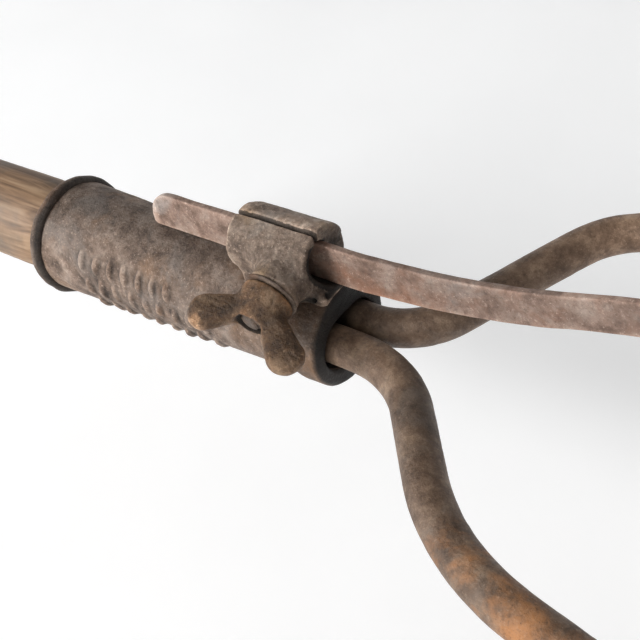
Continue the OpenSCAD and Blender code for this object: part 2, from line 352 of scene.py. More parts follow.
def bumped(nodes, links, bsdf, height, strength, distance):
    relief = nodes.new("ShaderNodeBump")
    relief.inputs["Strength"].default_value = strength
    relief.inputs["Distance"].default_value = distance
    links.new(height, relief.inputs["Height"])
    links.new(relief.outputs["Normal"], bsdf.inputs["Normal"])


def rusty(name, tones, rust, cool, rust_from, cool_from, speck=0.55, shine=0.5, bump=0.8, shift=0.0):
    """Old rusted iron: mottled brown tones, orange rust, cool worn patches, pale specks and pits."""
    m, nodes, links, bsdf = new_material(name)
    mottle = field_node(nodes, links, 150, 10, 0.15, shift, 0.72)
    colour = ramp(nodes, links, mottle, [(0.36, tones[0]), (0.5, tones[1]), (0.64, tones[2])])
    patch = field_node(nodes, links, 55, 6, 0.8, shift + 3)
    worn = ramp(nodes, links, patch, [(cool_from, 0.0), (cool_from + 0.14, 1.0)])
    colour = mixed(nodes, links, worn, colour, cool, amount=0.75)
    stain = field_node(nodes, links, 70, 9, 0.25, shift + 7, 0.66)
    pushed = nodes.new("ShaderNodeMath")
    pushed.operation = "ADD"
    links.new(stain, pushed.inputs[0])
    links.new(attribute(nodes, "rust")["Fac"], pushed.inputs[1])
    orange = ramp(nodes, links, pushed.outputs[0], [(rust_from, 0.0), (rust_from + 0.2, 1.0)])
    colour = mixed(nodes, links, orange, colour, rust, amount=0.75)
    grain = field_node(nodes, links, 1300, 5, 0.0, shift + 11, 0.75)
    pale = ramp(nodes, links, grain, [(0.57, 0.0), (0.66, 1.0)])
    light = tuple(min(1.0, 1.8 * c + 0.02) for c in tones[2])
    colour = mixed(nodes, links, pale, colour, light, amount=speck)
    flecks = field_node(nodes, links, 420, 7, 0.3, shift + 13, 0.75)
    stains = ramp(nodes, links, flecks, [(0.34, 1.0), (0.47, 0.0)])
    colour = mixed(nodes, links, stains, colour, tuple(0.55 * c for c in tones[0]), amount=0.5)
    dark = ramp(nodes, links, grain, [(0.3, 1.0), (0.42, 0.0)])
    colour = mixed(nodes, links, dark, colour, tuple(0.4 * c for c in tones[0]), amount=0.7)
    colour = mixed(nodes, links, None, colour, attribute(nodes, "shade")["Color"], "MULTIPLY")
    links.new(colour, bsdf.inputs["Base Color"])
    gloss = ramp(nodes, links, mottle, [(0.3, shine + 0.2), (0.7, shine)])
    links.new(gloss, bsdf.inputs["Roughness"])
    bsdf.inputs["Specular IOR Level"].default_value = 0.38
    crust = field_node(nodes, links, 620, 6, 0.3, shift + 5, 0.7)
    height = mixed(nodes, links, None, crust, grain, amount=0.45)
    bumped(nodes, links, bsdf, height, bump, 0.0012)
    return m


def worn_wood():
    """Grey-brown ash with grain along X, dark pores and grime."""
    m, nodes, links, bsdf = new_material("worn_wood")
    coords = nodes.new("ShaderNodeTexCoord")
    mapping = nodes.new("ShaderNodeMapping")
    mapping.inputs["Scale"].default_value = (0.06, 1, 1)
    links.new(coords.outputs["Object"], mapping.inputs["Vector"])
    grain = nodes.new("ShaderNodeTexNoise")
    grain.inputs["Scale"].default_value = 420
    grain.inputs["Detail"].default_value = 8
    grain.inputs["Distortion"].default_value = 0.6
    links.new(mapping.outputs["Vector"], grain.inputs["Vector"])
    colour = ramp(nodes, links, grain.outputs["Fac"],
                  [(0.32, (0.10, 0.055, 0.03)), (0.5, (0.26, 0.155, 0.085)), (0.68, (0.38, 0.25, 0.15))])
    grime = field_node(nodes, links, 40, 6, 0.5, 2.0)
    mask = ramp(nodes, links, grime, [(0.48, 0.0), (0.66, 1.0)])
    colour = mixed(nodes, links, mask, colour, (0.10, 0.075, 0.055), amount=0.7)
    links.new(colour, bsdf.inputs["Base Color"])
    gloss = ramp(nodes, links, grime, [(0.3, 0.72), (0.7, 0.48)])
    links.new(gloss, bsdf.inputs["Roughness"])
    bumped(nodes, links, bsdf, grain.outputs["Fac"], 0.35, 0.0004)
    return m


def pale_floor():
    """A white studio sheet with the faintest mottling."""
    m, nodes, links, bsdf = new_material("pale_floor")
    soft = field_node(nodes, links, 6, 4)
    colour = ramp(nodes, links, soft, [(0.35, 0.83), (0.65, 0.86)])
    links.new(colour, bsdf.inputs["Base Color"])
    bsdf.inputs["Roughness"].default_value = 0.9
    bsdf.inputs["Specular IOR Level"].default_value = 0.1
    links.new(colour, bsdf.inputs["Emission Color"])
    bsdf.inputs["Emission Strength"].default_value = 0.285
    return m


IRON_SOCKET = rusty("rusted_socket", ((0.066, 0.042, 0.029), (0.185, 0.126, 0.092), (0.31, 0.235, 0.185)),
                    (0.24, 0.125, 0.058), (0.195, 0.160, 0.137), 0.53, 0.50, shift=0.3)
IRON_CLIP = rusty("rusted_clip", ((0.080, 0.054, 0.039), (0.215, 0.152, 0.112), (0.36, 0.28, 0.22)),
                  (0.28, 0.175, 0.08), (0.27, 0.225, 0.19), 0.56, 0.55, speck=0.6, bump=1.0, shift=1.7)
IRON_WING = rusty("rusted_wing", ((0.042, 0.022, 0.011), (0.125, 0.068, 0.034), (0.23, 0.145, 0.083)),
                  (0.23, 0.10, 0.032), (0.14, 0.10, 0.07), 0.50, 0.62, speck=0.6, shine=0.36, bump=0.9,
                  shift=2.9)
STEEL_ROD = rusty("rusted_rod", ((0.046, 0.027, 0.016), (0.092, 0.057, 0.036), (0.155, 0.104, 0.068)),
                  (0.27, 0.112, 0.034), (0.115, 0.088, 0.068), 0.60, 0.55, speck=0.3, shine=0.40, bump=0.5,
                  shift=4.1)
STEEL_BAR = rusty("rusted_bar", ((0.13, 0.080, 0.058), (0.255, 0.168, 0.128), (0.35, 0.265, 0.215)),
                  (0.27, 0.125, 0.072), (0.29, 0.25, 0.225), 0.49, 0.54, speck=0.5, shine=0.45, bump=0.5,
                  shift=5.3)
STEEL_SMALL = rusty("rusted_small", ((0.045, 0.030, 0.022), (0.115, 0.078, 0.056), (0.20, 0.15, 0.115)),
                    (0.22, 0.11, 0.055), (0.15, 0.125, 0.105), 0.54, 0.58, shift=6.1)
STEEL_SHOVEL = rusty("soil_worn_steel", ((0.055, 0.038, 0.028), (0.14, 0.10, 0.075), (0.25, 0.20, 0.165)),
                     (0.25, 0.13, 0.06), (0.27, 0.25, 0.235), 0.54, 0.46, shine=0.4, shift=7.7)
WOOD = worn_wood()


# ---------------------------------------------------------------- shade and rust on the points

# How much lighter rubbed edges are, and how much darker pits and hollows are with dirt and painted shade,
# per mm of relief.
EDGE_WEAR_AND_SHADE = 3.6
# How many rounds of smoothing relief is measured against, for edges and for a casting's creases.
EDGE_SPREAD = 8
CREASE_SPREAD = 60


def shaded(obj, values):
    """Stores a factor for each point, darker below 1 and lighter above, which multiplies the colour; it
    carries painted shade and painted highlights as well as stains and wear.
    """
    layer = obj.data.color_attributes.new("shade", "FLOAT_COLOR", "POINT")
    n = len(obj.data.vertices)
    rgba = np.ones((n, 4))
    rgba[:, :3] = np.clip(values, 0, 3)[:, None]
    layer.data.foreach_set("color", rgba.ravel())
    return obj


def relief_of(obj, spread):
    """How far each point stands proud of (or below) its surroundings, spread rounds wide, in mm."""
    mesh = obj.data
    edges = np.empty(len(mesh.edges) * 2, int)
    mesh.edges.foreach_get("vertices", edges)
    a, b = edges.reshape(-1, 2).T
    normals = np.empty(len(mesh.vertices) * 3)
    mesh.vertices.foreach_get("normal", normals)
    points = points_of(obj)
    n = len(points)
    links = np.maximum(np.bincount(a, minlength=n) + np.bincount(b, minlength=n), 1)
    level = points
    for _ in range(spread):
        level = np.stack([(np.bincount(a, level[b, k], n) + np.bincount(b, level[a, k], n)) / links
                          for k in range(3)], axis=1)
    return ((points - level) * normals.reshape(-1, 3)).sum(axis=1)


def rust_layer(obj, values):
    """Stores how much more rust each point has than its piece's own pattern gives it."""
    layer = obj.data.attributes.new("rust", "FLOAT", "POINT")
    layer.data.foreach_set("value", np.broadcast_to(values, len(obj.data.vertices)).astype(float))


def points_of(obj):
    co = np.empty(len(obj.data.vertices) * 3)
    obj.data.vertices.foreach_get("co", co)
    return co.reshape(-1, 3) * 1000


def finished(name, mesh, body, nodes, material, shade=None, rust=None, hollows=0.0):
    """Makes a piece and stores the shade and rust that its material reads.

    shade and rust are functions of the points. hollows is how much painted shade darkens a casting's wide
    creases, and how much a painted highlight lightens its ridges, as a share for each mm of depth."""
    obj = piece(name, mesh[0], mesh[1], body, nodes, material)
    if material is WOOD:
        return obj
    points = points_of(obj)
    values = 0.93 + 0.07 * noise(points, 9.0, 3)
    # Rubbed edges lighter; pits and hollows darker, partly dirt and partly painted shade.
    values = values * np.clip(1 + EDGE_WEAR_AND_SHADE * relief_of(obj, EDGE_SPREAD), 0.45, 1.5)
    # Painted shade in a casting's wide creases and a painted highlight on its ridges.
    if hollows:
        wide = relief_of(obj, CREASE_SPREAD)
        values = values * np.clip(1 + hollows * (wide - np.median(wide)), 0.55, 1.3)
    if shade is not None:
        values = values * shade(points)
    rust_layer(obj, 0.0 if rust is None else rust(points))
    return shaded(obj, values)


# ---------------------------------------------------------------- socket

RIB_X0 = -82
RIB_PITCH = 5.4
# Each row's angle round the socket from its top, its shift along X and its number of ribs.
RIB_ROWS = ((67, 0.0, 7), (94, 1.5, 9), (122, 3.0, 9))
BORE_FRONT = 36
GRIP_R = 13.9
GRIP_FRONT = 42
HANG_X = -66.0


def socket_radius(x):
    """The plain socket's radius at x mm from its tine end."""
    along = [-SOCKET_L, -13, -10.5, -8.2, -7, -1.5, 0]
    return np.interp(x, along, [16.5, 13.9, 14.1, 14.5, 14.6, 14.6, 14.2])


def rib_height(x, angle, radius):
    """Height of the plain raised ribs in three rows along the socket."""
    draw = np.random.default_rng(11)
    height = np.zeros(len(x))
    for at, offset, count in RIB_ROWS:
        for i in range(count):
            lean = draw.uniform(-0.12, 0.12)
            length, wide, high = draw.uniform(2.0, 3.0), draw.uniform(0.75, 1.0), draw.uniform(0.7, 1.1)
            dx = x - (RIB_X0 + i * RIB_PITCH + offset + draw.uniform(-0.4, 0.4))
            ds = np.radians(angle - at) * radius + draw.uniform(-0.4, 0.4)
            a = dx * math.cos(lean) - ds * math.sin(lean)
            b = dx * math.sin(lean) + ds * math.cos(lean)
            q = np.sqrt((a / wide) ** 2 + (b / length) ** 2)
            height = np.maximum(height, high * np.clip((1.45 - q) / 0.85, 0, 1))
    return height


def socket_field(p):
    x = p[:, 0] - FACE
    rho = np.hypot(p[:, 1], p[:, 2])
    angle = np.degrees(np.arctan2(-p[:, 1], p[:, 2]))
    radius = socket_radius(x)
    d = rho - radius - rib_height(x, angle, radius)
    d = smooth_max(d, x, 1.8)
    d = smooth_max(d, -SOCKET_L - x, 0.8)
    oval = np.hypot(np.maximum(np.abs(p[:, 1]) - 3.3, 0), p[:, 2] + 0.6) - 7.4
    d = cut(d, np.maximum(oval, -BORE_FRONT - 1 - x), 1.3)
    bore = rho - np.interp(x, [-SOCKET_L, -BORE_FRONT], [12.8, 11.4])
    d = cut(d, np.maximum(bore, x + BORE_FRONT), 0.4)
    return d - roughness(p, 0.13, 0.16, 2)


# Painted shade: darker along the top, nearly black inside the socket, very dark on the tine end face, and a
# painted shadow over the collar. Lighter towards the rear end.
def socket_shade(p):
    x = p[:, 0] - FACE
    rho = np.hypot(p[:, 1], p[:, 2])
    angle = np.abs(np.degrees(np.arctan2(-p[:, 1], p[:, 2])))
    top = np.clip((42 - angle) / 30, 0, 1)
    inside = (rho < socket_radius(x) - 3) & (x < -1.5)
    value = (1 - 0.42 * top) * (1 + 0.22 * np.clip((-55 - x) / 25, 0, 1))
    front = np.clip((x + 1.7) / 1.2, 0, 1)
    collar = 1 - 0.42 * np.clip((x + 22) / 12, 0, 1)
    return value * np.where(inside, 0.12, 1) * (1 - 0.93 * front) * collar


def socket_rust(p):
    """Browner round the collar than along the socket."""
    return 0.14 * np.clip((p[:, 0] - FACE + 22) / 10, 0, 1)


def build_socket():
    mesh = solid(socket_field, (FACE - 104.5, -18.5, -18.5), (FACE + 1.5, 18.5, 18.5), 0.5)
    finished("socket_casting", mesh, "socket_group", ("socket",), IRON_SOCKET, socket_shade,
             socket_rust)


def build_mouth_band():
    turns = np.linspace(0, 2 * math.pi, 28, endpoint=False)
    profile = [(16.45 + 1.6 * math.cos(t) if math.cos(t) > -0.1 else 16.25, 2.0 * math.sin(t))
               for t in turns]
    rings = lathe(profile + profile[:1], 220, 0.22, 9, 3.0)
    points, faces = closed_ring(rings[:-1])
    m = move(FACE - SOCKET_L + 2.2, 0, 0) @ turn("Y", 90)
    # The shade darkens the band's face towards the tines: painted shade.
    finished("mouth_band_ring", (place(m, points), faces), "socket_group", ("mouth_band",),
             STEEL_SMALL, lambda p: 0.85 - 0.6 * np.clip((p[:, 0] - FACE + SOCKET_L - 2.0) / 1.2, 0, 1))


def closed_ring(rings):
    """A ring-shaped surface, such as a band or washer, from rings that close on each other."""
    rings = np.array(rings)
    n, m = rings.shape[:2]
    faces = []
    for i in range(n):
        k = (i + 1) % n
        faces += [[i * m + j, i * m + (j + 1) % m, k * m + (j + 1) % m, k * m + j] for j in range(m)]
    return rings.reshape(-1, 3), faces


def handle_field(p):
    x = p[:, 0]
    rho = np.hypot(p[:, 1], p[:, 2])
    inner = FACE - SOCKET_L
    radius = np.interp(x, [HANG_X, GRIP_FRONT, inner - 9, inner - 1.5, inner, FACE - BORE_FRONT - 0.3],
                       [GRIP_R, GRIP_R, 13.7, 12.6, 12.6, 11.2])
    d = rho - radius - 0.12 * noise(p * np.array((0.15, 1, 1)), 5.0, 4)
    d = smooth_max(d, x - (FACE - BORE_FRONT - 0.4), 0.5)
    butt = np.linalg.norm(p - np.array((HANG_X, 0, 0)), axis=1) - GRIP_R
    d = np.where(x < HANG_X, butt, d)
    hole = np.hypot(x - HANG_X, p[:, 2]) - 4.1
    d = cut(d, hole, 1.2)
    nicks = np.minimum(noise(p, 4.0, 6) + 0.55, 0)
    return d - 0.5 * nicks - 0.05 * noise(p, 1.7, 8)


def build_handle():
    mesh = solid(handle_field, (-82, -15, -15), (FACE - 35, 15, 15), 0.62)
    finished("turned_handle", mesh, "socket_group", ("handle",), WOOD)


def dome_profile(r, z, h, shank, bottom):
    """A domed head at z above a shank, as (radius, height) pairs from the shank's end upward."""
    pairs = [(0.02, bottom), (shank, bottom), (shank, z)]
    pairs += [(r * 0.98, z), (r, z + 0.25 * h)]
    pairs += [(r * math.cos(math.radians(a)), z + 0.25 * h + 0.75 * h * math.sin(math.radians(a)))
              for a in (20, 40, 58, 74, 86)]
    return pairs


def build_nails():
    parts = []
    for axis, angle in (("X", 180), ("X", -90)):
        points, faces = tube(lathe(dome_profile(3.4, 16.2, 1.3, 1.6, 7.5), 40, 0.12, 5))
        parts.append((place(move(FACE - 84, 0, 0) @ turn(axis, angle), points), faces))
    finished("cross_nails", joined(parts), "socket_group", ("socket_nails",), STEEL_SMALL)


def wedge_field(p):
    x = p[:, 0] - FACE
    top = np.interp(x, [-27, -3], [-6.6, -4.8])
    d = np.maximum(p[:, 2] - top, -7.95 - p[:, 2])
    d = smooth_max(d, np.abs(p[:, 1]) - 2.95, 0.5)
    d = smooth_max(d, np.abs(x + 15) - 12, 0.6)
    return d - 0.08 * noise(p, 1.5, 3)


def build_wedge():
    mesh = solid(wedge_field, (FACE - 28, -4, -9), (FACE - 2, 4, -3.6), 0.3)
    finished("tine_wedge_block", mesh, "socket_group", ("tine_wedge",), STEEL_SMALL,
             lambda p: np.full(len(p), 0.45))


# ---------------------------------------------------------------- round tines

def walk(start, moves, step=0.7):
    """Frames along a bent rod: moves are (length,) or (axis, radius, degrees) in the rod's own frame."""
    m = start
    frames = [m]
    for go in moves:
        if len(go) == 1:
            count = max(1, round(go[0] / step))
            for _ in range(count):
                m = m @ move(go[0] / count, 0, 0)
                frames.append(m)
            continue
        axis, radius, degrees = go
        count = max(2, round(radius * math.radians(abs(degrees)) / step))
        sign = 1 if degrees > 0 else -1
        centre = (0, sign * radius, 0) if axis == "Z" else (0, 0, -sign * radius)
        piece_turn = turn(axis, degrees / count)
        for _ in range(count):
            m = m @ move(*centre) @ piece_turn @ move(*(-c for c in centre))
            frames.append(m)
    return frames


def rod_rings(frames, seed, around=44):
    """Rings of a forged round rod, with its last length hammered flat on both faces."""
    rings = []
    angle = np.linspace(0, 2 * math.pi, around, endpoint=False)
    along = 0.0
    total = sum(np.linalg.norm(b[:3, 3] - a[:3, 3]) for a, b in zip(frames, frames[1:]))
    for i, m in enumerate(frames):
        if i:
            along += np.linalg.norm(m[:3, 3] - frames[i - 1][:3, 3])
        y, z = ROD_R * np.cos(angle), ROD_R * np.sin(angle)
        flat = min(1, max(0, (along - (total - END_L)) / 3))
        z = np.clip(z, FLAT_UNDER * flat - ROD_R, ROD_R - FLAT_OVER * flat)
        shrink = 1 - 0.14 * max(0, 1 - (total - along) / 0.8)
        ring = place(m, np.stack([np.zeros(around), y * shrink, z * shrink], axis=1))
        out = ring - m[:3, 3]
        out /= np.maximum(np.linalg.norm(out, axis=1), 1e-6)[:, None]
        skin = 0.10 * noise(ring, 9.0, seed) + 0.05 * noise(ring, 2.4, seed + 1)
        skin += 0.11 * np.minimum(noise(ring, 1.2, seed + 2) + 0.4, 0)
        rings.append(ring + out * skin[:, None])
    return rings


# The bends outside the socket, as walk() takes them.
LEFT_MOVES = [("Z", 20.1, 63.9), (36.7,), ("Z", 24.0, -63.9)]
RIGHT_MOVES = [("Z", 31.0, -49.6), (20.3,), ("Z", 61.75, 38.3), (22.0,), ("Z", 60.0, 11.3)]


def outer_tine(start, lead, bends):
    """Frames of a whole outer tine: into the socket, out to the side, forward and down."""
    frames = walk(start, [(ROD_IN + lead,)] + bends)
    reached = (np.linalg.inv(start) @ frames[-1])[0, 3] + FACE - ROD_IN
    return frames + walk(frames[-1], [(BEND_X - reached,), ("Y", DOWN_R, DOWN_A), (END_L,)])[1:]


# Painted shade and painted highlights: nearly black where the rods go into the socket, and lighter and
# darker stretches along each rod that stand in for its sheen.
def rod_shade(p):
    x = p[:, 0] - FACE
    near = np.interp(x, [12, 28, 45, 70], [1.5, 0.78, 1.0, 1.2])
    far = np.interp(x, [8, 25, 45, 70], [1.1, 1.0, 1.6, 1.2])
    along = np.where(p[:, 1] < 0, near, far)
    return np.clip((x + 2.5) / 4, 0.12, 1) * along * (1 + 0.15 * noise(p, 16.0, 91))


def rod_rust(p):
    """More rust where the tines have spread apart, and least beside the socket."""
    x = p[:, 0] - FACE
    ahead = 0.16 * np.clip((x - 50) / 25, 0, 1) - 0.10 * np.clip((18 - x) / 18, 0, 1)
    return ahead + 0.05 * noise(p, 20.0, 92)


def build_tines():
    left = outer_tine(turn("X", LEAN) @ move(FACE - ROD_IN, ROD_Y, 0), 3.5, LEFT_MOVES)
    right = outer_tine(move(FACE - ROD_IN, -ROD_Y, 0), 4.9, RIGHT_MOVES)
    for side, frames, seed in (("left", left, 3), ("right", right, 13)):
        finished(side + "_rod", tube(rod_rings(frames, seed)), "socket_group",
                 (side + "_tine",), STEEL_ROD, rod_shade, rod_rust)
    return left[-1] @ move(-END_L, 0, 0), right[-1] @ move(-END_L, 0, 0)


# ---------------------------------------------------------------- shovels and rivets

def leaf_field(p, tab):
    """A pointed shovel plate in its own frame: X down the tine, its upper face at Z = 0."""
    x, y, z = p[:, 0], np.abs(p[:, 1]), p[:, 2]
    half = np.interp(x, [0.5, 8, 20, 30, 39, 49, 56], [4.6, 8.9, 14.2, 15.7, 12.9, 4.6, 0.2])
    beside = np.sqrt((y - 4.6) ** 2 * (y > 4.6) + 0.5) - 0.7
    bow = math.tan(math.radians(14)) * np.maximum(beside, 0)
    wear = 1 - 0.35 * np.clip((x - 35) / 21, 0, 1)
    d = np.abs(z - bow + PLATE_T / 2) - PLATE_T / 2 * wear
    edge = (y - half) * 0.8
    d = smooth_max(d, edge, 0.9)
    d = smooth_max(d, 0.6 - x, 0.6)
    if tab:
        web = block(p, (15, BAR_T / 2 + 1.2, 2.9), (15, 1.15, 3.9), 0.5)
        d = smooth_min(d, web, 0.8)
    return d - 0.10 * noise(p, 3.0, 6) - 0.06 * np.minimum(noise(p, 1.1, 8) + 0.3, 0)


def rivet_mesh(heads, height, shank, r=3.4):
    """Rivets at X = heads: shank from the lower to the upper height, a dome on each end."""
    low, high = height
    parts = []
    for at in heads:
        dome = [(r, 0), (r, 0.2), (r * 0.85, 0.8), (r * 0.5, 1.15), (0.02, 1.25)]
        profile = [(out, low - up) for out, up in dome[::-1]]
        profile += [(shank, low + 0.01), (shank, high - 0.01)]
        profile += [(out, high + up) for out, up in dome]
        points, faces = tube(lathe(profile, 36, 0.15, int(at)))
        parts.append((points + np.array((at, 0, 0)), faces))
    return joined(parts)


def shovel_shade(p):
    return 0.85 + 0.15 * noise(p, 14.0, 9)


def build_outer_shovels(ends):
    under, over = FLAT_UNDER - ROD_R, ROD_R - FLAT_OVER
    for side, m in zip(("left", "right"), ends):
        points, faces = solid(lambda p: leaf_field(p, False), (-1, -17.5, -4.5), (57.5, 17.5, 5), 0.55)
        points = place(m @ move(0, 0, under - 0.05), points)
        finished(side + "_shovel_leaf", (points, faces), "socket_group",
                 (side + "_shovel",), STEEL_SHOVEL, shovel_shade)
        points, faces = rivet_mesh((9, 23), (under - PLATE_T, over), 2.0)
        finished(side + "_rivet_pair", (place(m, points), faces), "socket_group",
                 (side + "_rivets",), STEEL_SMALL)


# ---------------------------------------------------------------- middle tine

def slab_ring(height, thick=BAR_T, corner=0.28):
    """Points (y, z) round a rounded rectangle, always the same number of them."""
    y, z = thick / 2 - corner, height / 2 - corner
    ring = []
    for cy, cz, start in ((y, z, 0), (-y, z, 90), (-y, -z, 180), (y, -z, 270)):
        for a in (0, 30, 60, 90):
            t = math.radians(start + a)
            ring.append((cy + corner * math.cos(t), cz + corner * math.sin(t)))
        if start in (90, 270):
            side = -thick / 2 if start == 90 else thick / 2
            way = 1 if start == 90 else -1
            ring += [(side, way * z * (1 - 2 * k / 14)) for k in range(1, 14)]
    return np.array(ring)


def bar_top(ahead):
    """Z of the bar's upper edge, ahead mm past the start of its rise."""
    return BAR_Z + BAR_H / 2 + BAR_TOP_R - np.sqrt(BAR_TOP_R ** 2 - ahead ** 2)


def bar_stations():
    """Frames and heights along the flat middle tine, from its rear end to its shovel."""
    stations = []
    for x in np.linspace(BAR_REAR + 0.05, BAR_BEND, 90):
        from_end = x - BAR_REAR
        short = max(0, BAR_CORNER - from_end)
        top = BAR_Z + BAR_H / 2 - (BAR_CORNER - math.sqrt(BAR_CORNER ** 2 - short ** 2))
        low = BAR_Z - BAR_H / 2 + max(0, 0.8 - from_end)
        stations.append((move(x, BAR_Y, (top + low) / 2), top - low))
    for x in np.linspace(BAR_BEND, BAR_END, 80)[1:]:
        top = bar_top(x - BAR_BEND)
        low = BAR_Z - BAR_H / 2 + BAR_LOW_R - math.sqrt(BAR_LOW_R ** 2 - (x - BAR_LOW_X) ** 2)
        up = (math.asin((x - BAR_BEND) / BAR_TOP_R) + math.asin((x - BAR_LOW_X) / BAR_LOW_R)) / 2
        up *= min(1, (x - BAR_BEND) / 10)
        stations.append((move(x, BAR_Y, (top + low) / 2) @ turn("Y", -math.degrees(up)),
                         (top - low) * math.cos(up)))
    bend, height = stations[-1]
    rise = math.degrees(math.asin(bend[2, 0]))
    run = [(BAR_STRAIGHT,), ("Y", BAR_DOWN_R, rise + DOWN_A), (BAR_TAIL,)]
    for m in walk(bend, run, 0.8)[1:]:
        stations.append((m, height))
    return stations


def build_bar():
    stations = bar_stations()
    rings = []
    for m, height in stations:
        flat = slab_ring(height)
        ring = place(m, np.column_stack([np.zeros(len(flat)), flat]))
        dent = 0.10 * noise(ring, 11.0, 21) + 0.05 * noise(ring, 2.2, 22)
        pit = 0.12 * np.minimum(noise(ring, 1.3, 23) + 0.4, 0)
        edge = 0.16 * noise(ring, 6.0, 24) * np.sign(flat[:, 1]) * (np.abs(flat[:, 1]) > height / 2 - 0.5)
        shift = np.column_stack([np.zeros(len(flat)), np.sign(flat[:, 0]) * (dent + pit), edge])
        rings.append(ring + shift @ m[:3, :3].T)
    finished("flat_bar", tube(rings), "middle_group", ("middle_tine",), STEEL_BAR, bar_shade,
             bar_rust)
    end, height = stations[-1]
    end = end @ move(-BAR_TAIL, 0, 0)
    points, faces = solid(lambda p: leaf_field(p, True), (-1, -17.5, -4.5), (57.5, 17.5, 8), 0.55)
    m = end @ move(16, 0, -height / 2)
    finished("middle_shovel_leaf", (place(m, points), faces), "middle_group",
             ("middle_shovel",), STEEL_SHOVEL, shovel_shade)
    points, faces = rivet_mesh((-23, -37), (-0.9, 3.3), 1.8, 3.2)
    m = end @ turn("X", -90) @ turn("Z", 180)
    finished("middle_rivet_pair", (place(m, points), faces), "middle_group",
             ("middle_rivets",), STEEL_SMALL)


def bar_rust(p):
    """Reddest just ahead of the clip, worn grey at the rear where it has slid."""
    x = p[:, 0] - FACE
    return np.interp(x, [-60, -30, -5, 25, 50, 70], [-0.16, -0.08, 0.06, 0.04, -0.06, 0.02])


# Painted shade: darker where the clip covers the bar and along its upper edge. Lighter towards the rear end
# and darker towards the front.
def bar_shade(p):
    x = p[:, 0] - FACE
    inside = np.clip(np.maximum((-28 - x) / 4, (x + 5.5) / 4), 0.78, 1)
    top = bar_top(np.clip(p[:, 0] - BAR_BEND, 0, BAR_END - BAR_BEND))
    upper = np.clip((p[:, 2] - top + 0.35) / 0.3, 0, 1) * (p[:, 0] < BAR_END)
    along = np.interp(x, [-62, -20, 40], [1.22, 1.06, 0.86])
    return inside * along * (1 - 0.35 * upper)


# ---------------------------------------------------------------- clip

ON_SCREW = move(SCREW_X, CLIP_Y, CLIP_Z) @ turn("X", 90 + SCREW_A)


def clip_field(p):
    x = p[:, 0] - FACE
    y, z = p[:, 1] - CLIP_Y, p[:, 2] - CLIP_Z
    rho = np.hypot(y, z)
    d = smooth_max(rho - CLIP_R, np.maximum(-29.6 - x, x + 5), 0.8)
    arc = np.degrees(np.arctan2(y, z))
    lip = smooth_max(np.abs(rho - 7.1) - 1.6, np.abs(arc - 28) * 0.15 - 5.7, 1.5)
    lip = smooth_max(lip, np.maximum(-28.6 - x, x + 4.7), 1.8)
    d = smooth_min(d, lip, 1.2)
    saddle = block(p, (FACE - 16.7, 0.7, 12.1), (11.2, 7.2, 4.4), 1.8)
    d = smooth_min(d, saddle, 2.4)
    heel = block(p, (FACE - 7.0, -0.1, 13.3), (6.1, 6.6, 2.7), 1.4)
    d = smooth_min(d, heel, 1.6)
    s = place(np.linalg.inv(ON_SCREW), p)
    boss = np.hypot(s[:, 0], s[:, 1]) - np.interp(s[:, 2], [3, 13.5], [5.0, 6.95])
    boss = smooth_max(boss, np.maximum(s[:, 2] - 13.55, 2 - s[:, 2]), 0.9)
    d = smooth_min(d, boss, 2.6)
    web = capsule(s, (-10.5, 0.5, 4.2), (-1.5, 0, 8.5), 2.6, 4.6)
    d = smooth_min(d, web, 2.4)
    toe = capsule(s, (7.5, -4.5, 2.5), (1.5, -1, 8.0), 3.0, 4.6)
    d = smooth_min(d, toe, 2.0)
    d = d - roughness(p, 0.13, 0.20, 31)
    d = cut(d, np.maximum(rho - 5.8, p[:, 1] - BAR_Y), 0.7)
    slot = np.maximum(np.abs(p[:, 1] - BAR_Y) - 1.02, np.abs(p[:, 2] - BAR_Z) - 5.5)
    d = cut(d, slot, 0.2)
    slit = np.maximum(np.abs(p[:, 1] + 0.95) - 0.4, CLIP_Z + 3 - p[:, 2])
    d = cut(d, slit, 0.35)
    d = cut(d, np.maximum(np.hypot(s[:, 0], s[:, 1]) - 3.3, -s[:, 2]), 0.3)
    d = cut(d, seam_line(p), 0.3)
    return cut(d, np.hypot(p[:, 1], p[:, 2]) - socket_radius(x) + 0.5, 0.2)


def seam_line(p):
    """The irregular crack where the clip's heel meets the collar, through (X, angle from the top)."""
    way = [(-9.5, 38), (-6.5, 33), (-4.0, 24), (-1.5, 17), (0.5, 9)]
    q = p + 0.5 * np.stack([noise(p, 1.6, 41), noise(p, 1.6, 42), noise(p, 1.6, 43)], axis=1)
    ends = [(FACE + x, -15.6 * math.sin(math.radians(a)), 15.6 * math.cos(math.radians(a))) for x, a in way]
    chain = [capsule(q, a, b, 0.75, 0.75) for a, b in zip(ends, ends[1:])]
    return np.minimum.reduce(chain)


